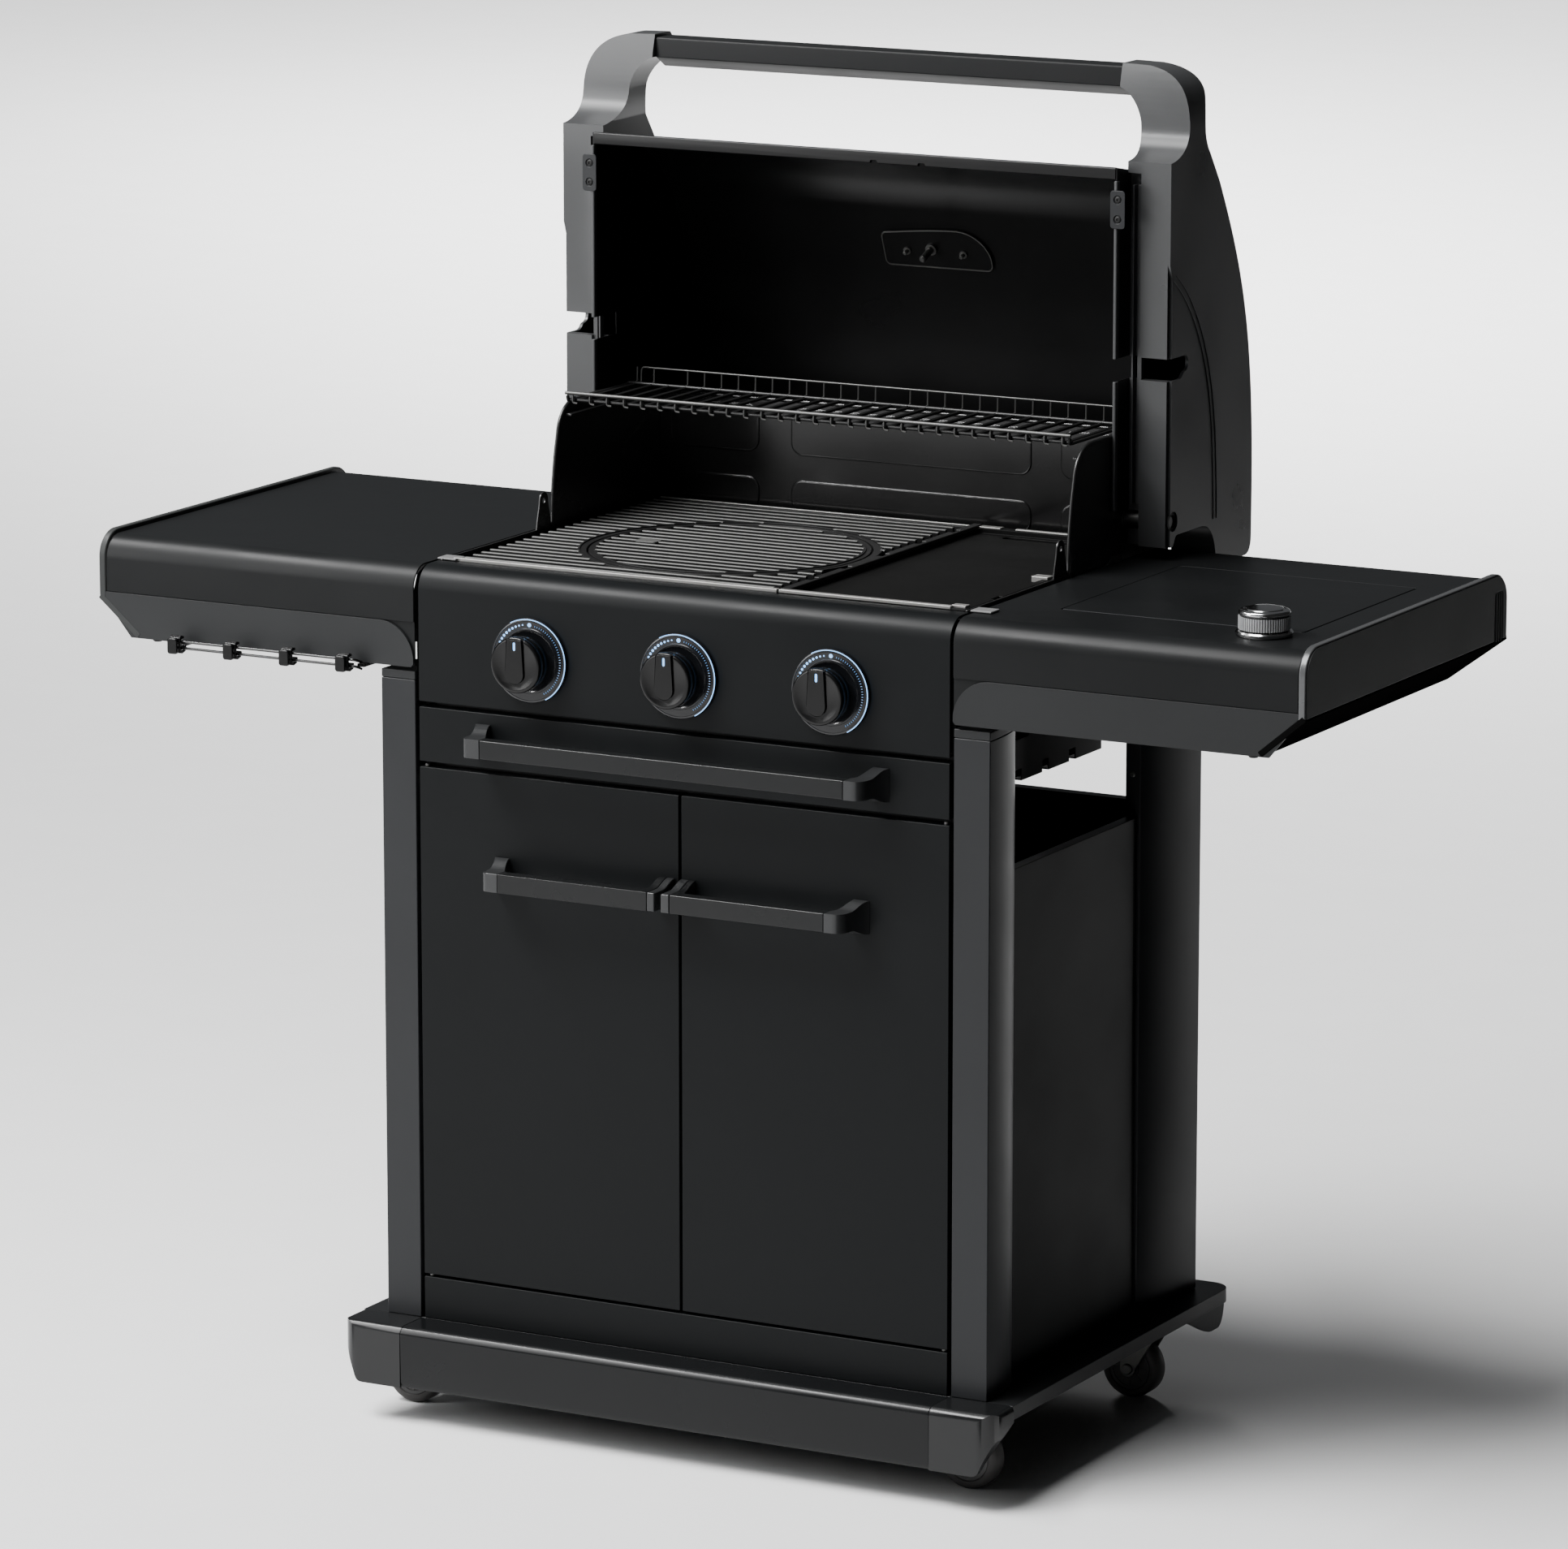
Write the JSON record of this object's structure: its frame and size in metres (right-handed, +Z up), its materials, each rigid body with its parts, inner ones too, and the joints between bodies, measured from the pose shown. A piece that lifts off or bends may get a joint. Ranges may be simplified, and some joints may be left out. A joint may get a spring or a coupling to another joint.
{
  "type": "gas barbecue grill",
  "caption": "Gas grill on a wheeled cabinet with fold-up hood, grates and griddle, lit control knobs, drip drawer, side shelves and side burner.",
  "frame": {"origin": "on the floor under the middle of the grill's bounding box", "axes": "+Z up, +Y from the front to the back, +X to the side burner's side"},
  "size_m": [1.35, 0.6199, 1.364],
  "materials": {
    "bezel_black": "satin black with a lit dial",
    "black_paint": "satin anthracite powder coat",
    "bright_steel": "plain steel",
    "cast_hood_end": "painted die-cast, satin grey",
    "caster_wheel_plastic": "grey moulded wheel",
    "firebox_enamel": "black enamel",
    "grate_iron": "matte grey",
    "grey_paint": "satin mid-grey paint",
    "grey_plastic": "moulded, matched to the posts",
    "griddle_enamel": "matte black enamel",
    "handle_satin": "dark satin, lighter end caps",
    "hood_enamel": "gloss black enamel",
    "hook_chrome": "chromed wire and hooks",
    "knob_black": "satin black",
    "side_knob_chrome": "chrome cap over a knurled grey grip",
    "tray_enamel": "black enamel",
    "zinc_steel": "zinc plated"
  },
  "bodies": {
    "cart": {"base_corner_front_left": "grey_paint", "base_corner_front_right": "grey_paint", "base_fascia": "black_paint", "base_tray": "black_paint", "burner_1": "bright_steel", "burner_2": "bright_steel", "burner_3": "bright_steel", "control_panel": "black_paint", "firebox": "firebox_enamel", "gas_manifold": "bright_steel", "heat_diffuser": "bright_steel", "hook_rail": "hook_chrome", "knob_bezel_1": "bezel_black", "knob_bezel_2": "bezel_black", "knob_bezel_3": "bezel_black", "plinth_panel": "black_paint", "post_front_left": "grey_paint", "post_front_right": "grey_paint", "post_rear_left": "grey_paint", "post_rear_right": "grey_paint", "rear_panel": "black_paint", "shelf_left_frame": "grey_plastic", "shelf_left_top": "black_paint", "shelf_right_frame": "grey_plastic", "shelf_right_top": "black_paint", "side_burner": "firebox_enamel", "side_panel_left": "black_paint", "side_panel_right": "black_paint"},
    "hood": {"hood_shell": "hood_enamel", "hood_end_left": "cast_hood_end", "hood_end_right": "cast_hood_end", "hood_handle": "handle_satin", "thermometer": "bright_steel"},
    "door_left": {"door_left": "black_paint", "door_handle_left": "handle_satin"},
    "door_right": {"door_right": "black_paint", "door_handle_right": "handle_satin"},
    "drawer": {"drawer_front": "black_paint", "drip_tray": "tray_enamel", "drawer_handle": "handle_satin"},
    "valve_1": {"valve_stem_1": "bright_steel"},
    "knob_1": {"knob_1": "knob_black"},
    "valve_2": {"valve_stem_2": "bright_steel"},
    "knob_2": {"knob_2": "knob_black"},
    "valve_3": {"valve_stem_3": "bright_steel"},
    "knob_3": {"knob_3": "knob_black"},
    "side_knob": {"side_burner_knob": "side_knob_chrome"},
    "side_lid": {"side_burner_lid": "black_paint"},
    "grate": {"grate_main": "grate_iron"},
    "insert": {"grate_insert": "grate_iron"},
    "griddle": {"griddle": "griddle_enamel"},
    "rack": {"warming_rack": "bright_steel"},
    "fork_front_left": {"caster_fork_front_left": "zinc_steel"},
    "wheel_front_left": {"caster_wheel_front_left": "caster_wheel_plastic"},
    "fork_front_right": {"caster_fork_front_right": "zinc_steel"},
    "wheel_front_right": {"caster_wheel_front_right": "caster_wheel_plastic"},
    "fork_rear_left": {"caster_fork_rear_left": "zinc_steel"},
    "wheel_rear_left": {"caster_wheel_rear_left": "caster_wheel_plastic"},
    "fork_rear_right": {"caster_fork_rear_right": "zinc_steel"},
    "wheel_rear_right": {"caster_wheel_rear_right": "caster_wheel_plastic"}
  },
  "joints": [
    {"name": "hood_hinge", "type": "hinge", "parent": "cart", "child": "hood", "pos_m": [0, 0.1225, 0.9133], "axis": [1, 0, 0], "range_deg": [0, 90]},
    {"name": "door_left_hinge", "type": "hinge", "parent": "cart", "child": "door_left", "pos_m": [-0.2917, -0.2588, 0.1478], "axis": [0, 0, -1], "range_deg": [0, 110]},
    {"name": "door_right_hinge", "type": "hinge", "parent": "cart", "child": "door_right", "pos_m": [0.2917, -0.2588, 0.1478], "axis": [0, 0, 1], "range_deg": [0, 110]},
    {"name": "drawer_slide", "type": "slide", "parent": "cart", "child": "drawer", "axis": [0, -1, 0], "range_m": [0, 0.3]},
    {"name": "knob_1_push", "type": "slide", "parent": "cart", "child": "valve_1", "axis": [0, 1, 0], "range_m": [0, 0.003], "stiffness_N_per_m": 1500, "springref_m": -0.004},
    {"name": "knob_1_turn", "type": "hinge", "parent": "valve_1", "child": "knob_1", "pos_m": [-0.1687, -0.2958, 0.7915], "axis": [0, -1, 0], "range_deg": [0, 225]},
    {"name": "knob_2_push", "type": "slide", "parent": "cart", "child": "valve_2", "axis": [0, 1, 0], "range_m": [0, 0.003], "stiffness_N_per_m": 1500, "springref_m": -0.004},
    {"name": "knob_2_turn", "type": "hinge", "parent": "valve_2", "child": "knob_2", "pos_m": [0, -0.2958, 0.7915], "axis": [0, -1, 0], "range_deg": [0, 225]},
    {"name": "knob_3_push", "type": "slide", "parent": "cart", "child": "valve_3", "axis": [0, 1, 0], "range_m": [0, 0.003], "stiffness_N_per_m": 1500, "springref_m": -0.004},
    {"name": "knob_3_turn", "type": "hinge", "parent": "valve_3", "child": "knob_3", "pos_m": [0.1687, -0.2958, 0.7915], "axis": [0, -1, 0], "range_deg": [0, 225]},
    {"name": "side_knob_turn", "type": "hinge", "parent": "cart", "child": "side_knob", "pos_m": [0.597, -0.1958, 0.8764], "axis": [0, 0, 1], "range_deg": [0, 225]},
    {"name": "side_lid_hinge", "type": "hinge", "parent": "cart", "child": "side_lid", "pos_m": [0.496, 0.0968, 0.87355], "axis": [-1, 0, 0], "range_deg": [0, 100]},
    {"name": "grate_lift", "type": "slide", "parent": "cart", "child": "grate", "axis": [0, 0, 1], "range_m": [0, 0.06]},
    {"name": "insert_lift", "type": "slide", "parent": "grate", "child": "insert", "axis": [0, 0, 1], "range_m": [0, 0.05]},
    {"name": "griddle_lift", "type": "slide", "parent": "cart", "child": "griddle", "axis": [0, 0, 1], "range_m": [0, 0.06]},
    {"name": "rack_lift", "type": "slide", "parent": "cart", "child": "rack", "axis": [0, 0, 1], "range_m": [0, 0.05]},
    {"name": "swivel_front_left", "type": "hinge", "parent": "cart", "child": "fork_front_left", "pos_m": [-0.318, -0.2258, 0.1012], "axis": [0, 0, 1], "continuous": true},
    {"name": "wheel_front_left", "type": "hinge", "parent": "fork_front_left", "child": "wheel_front_left", "pos_m": [-0.33, -0.2258, 0.0315], "axis": [0, 1, 0], "continuous": true},
    {"name": "swivel_front_right", "type": "hinge", "parent": "cart", "child": "fork_front_right", "pos_m": [0.318, -0.2258, 0.1012], "axis": [0, 0, 1], "continuous": true},
    {"name": "wheel_front_right", "type": "hinge", "parent": "fork_front_right", "child": "wheel_front_right", "pos_m": [0.306, -0.2258, 0.0315], "axis": [0, 1, 0], "continuous": true},
    {"name": "swivel_rear_left", "type": "hinge", "parent": "cart", "child": "fork_rear_left", "pos_m": [-0.318, 0.1382, 0.1012], "axis": [0, 0, 1], "continuous": true},
    {"name": "wheel_rear_left", "type": "hinge", "parent": "fork_rear_left", "child": "wheel_rear_left", "pos_m": [-0.33, 0.1382, 0.0315], "axis": [0, 1, 0], "continuous": true},
    {"name": "swivel_rear_right", "type": "hinge", "parent": "cart", "child": "fork_rear_right", "pos_m": [0.318, 0.1382, 0.1012], "axis": [0, 0, 1], "continuous": true},
    {"name": "wheel_rear_right", "type": "hinge", "parent": "fork_rear_right", "child": "wheel_rear_right", "pos_m": [0.306, 0.1382, 0.0315], "axis": [0, 1, 0], "continuous": true}
  ]
}
